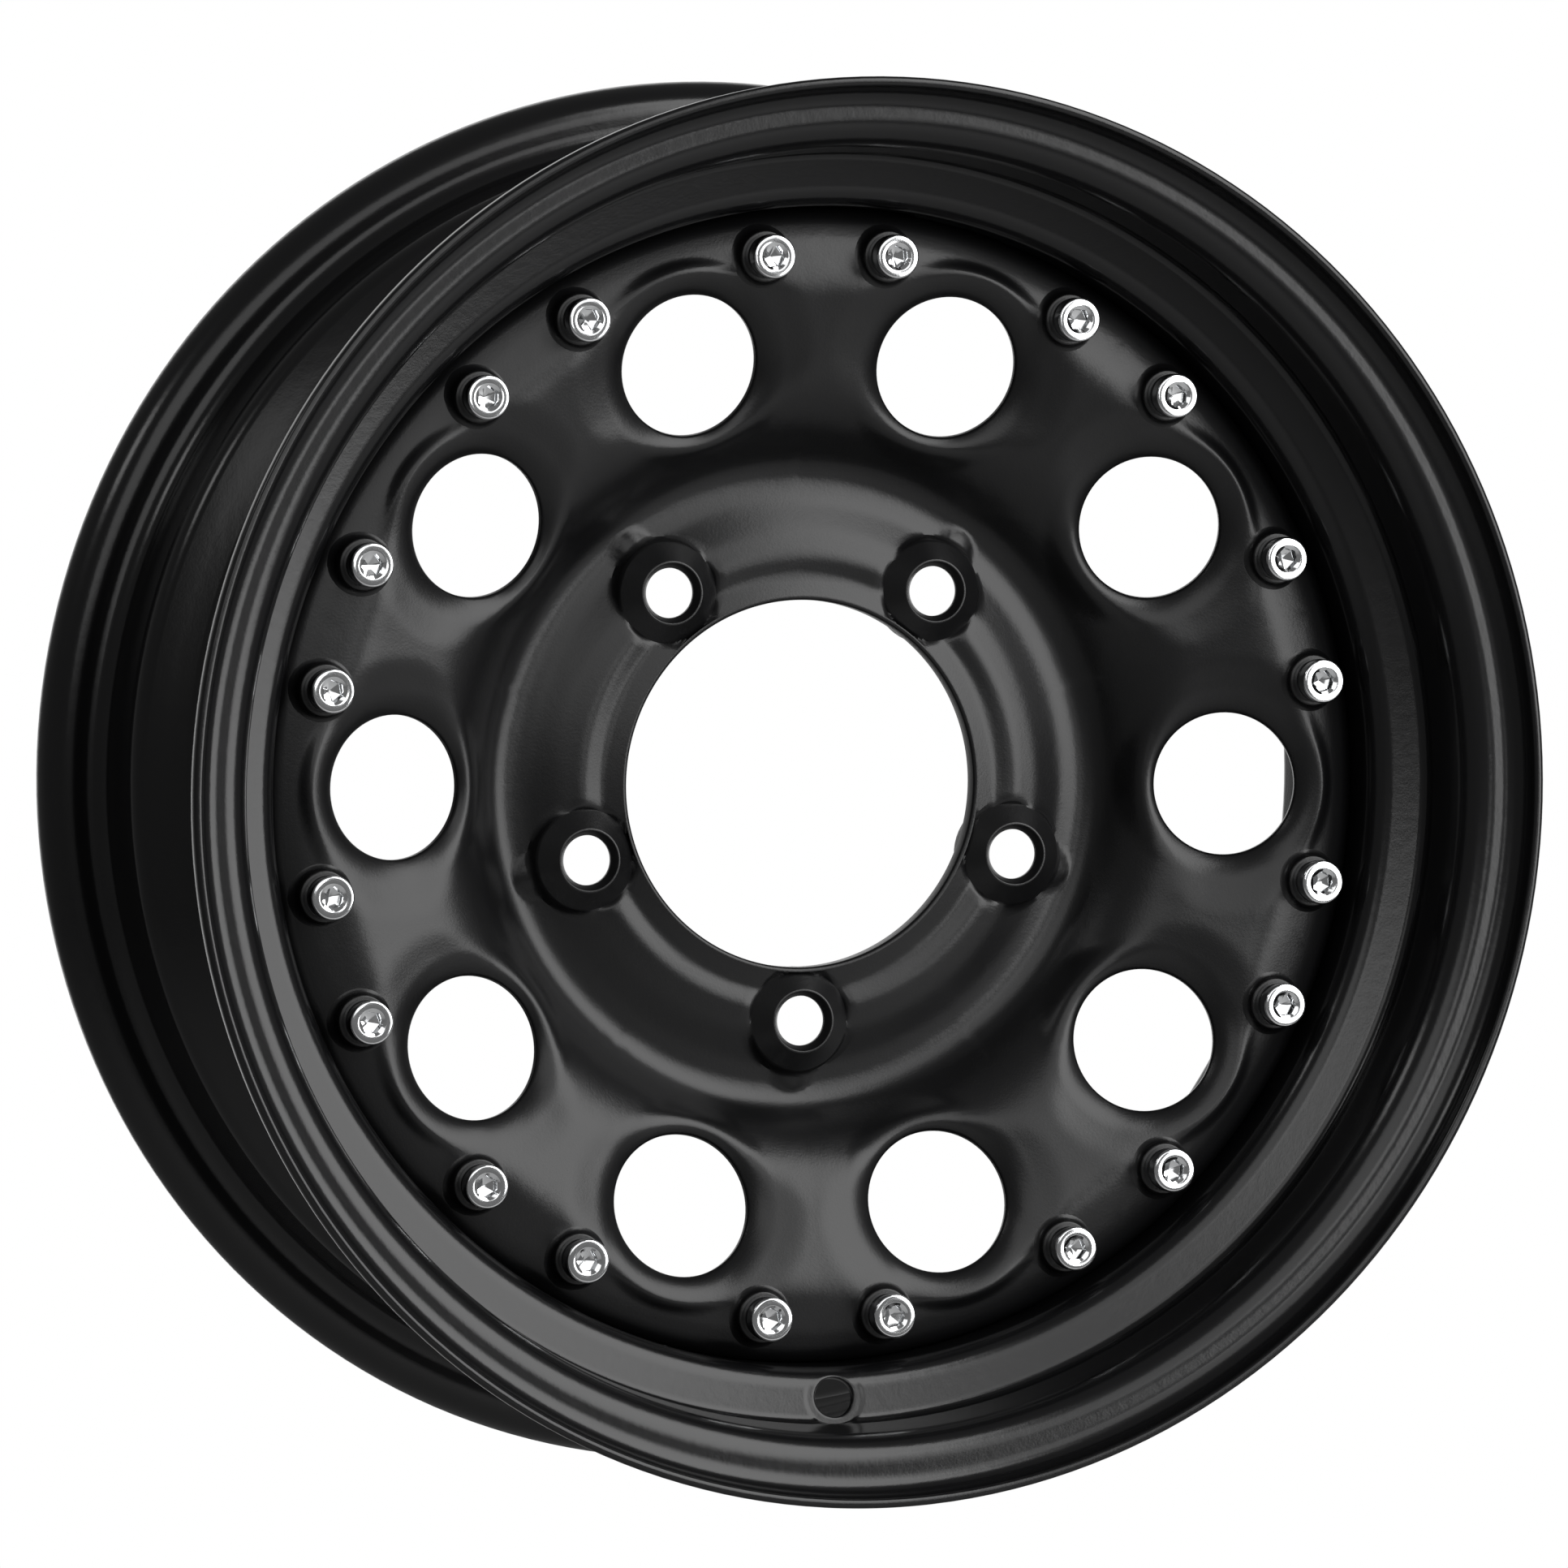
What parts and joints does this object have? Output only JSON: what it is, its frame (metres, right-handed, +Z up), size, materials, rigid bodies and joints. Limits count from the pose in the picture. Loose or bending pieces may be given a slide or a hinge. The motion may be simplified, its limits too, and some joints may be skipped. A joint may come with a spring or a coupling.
{
  "type": "wheel",
  "caption": "Black pressed-steel car wheel: drop-centre rim and dished disc with round hand holes, raised nut seats, a hub bore and a ring of paired socket-head screws.",
  "frame": {"origin": "centre of the wheel on its axis, in the middle plane of the rim, which is also the mounting face of the disc", "axes": "+Y along the wheel axis towards the vehicle, so the outer face looks along -Y; +Z up, with the valve hole at the bottom; +X to the right seen from the outer face"},
  "size_m": [0.4148, 0.1636, 0.4146],
  "materials": {
    "rim_paint": "semi-gloss black coating",
    "disc_paint": "satin black coating",
    "weld_paint": "black coating over weld beads",
    "chrome": "polished plating"
  },
  "bodies": {
    "root": {"rim": "rim_paint", "disc": "disc_paint", "weld_1": "weld_paint", "weld_2": "weld_paint", "weld_3": "weld_paint", "weld_4": "weld_paint", "weld_5": "weld_paint", "weld_6": "weld_paint", "weld_7": "weld_paint", "weld_8": "weld_paint", "screw_1": "chrome", "screw_2": "chrome", "screw_3": "chrome", "screw_4": "chrome", "screw_5": "chrome", "screw_6": "chrome", "screw_7": "chrome", "screw_8": "chrome", "screw_9": "chrome", "screw_10": "chrome", "screw_11": "chrome", "screw_12": "chrome", "screw_13": "chrome", "screw_14": "chrome", "screw_15": "chrome", "screw_16": "chrome", "screw_17": "chrome", "screw_18": "chrome", "screw_19": "chrome", "screw_20": "chrome"}
  },
  "joints": []
}
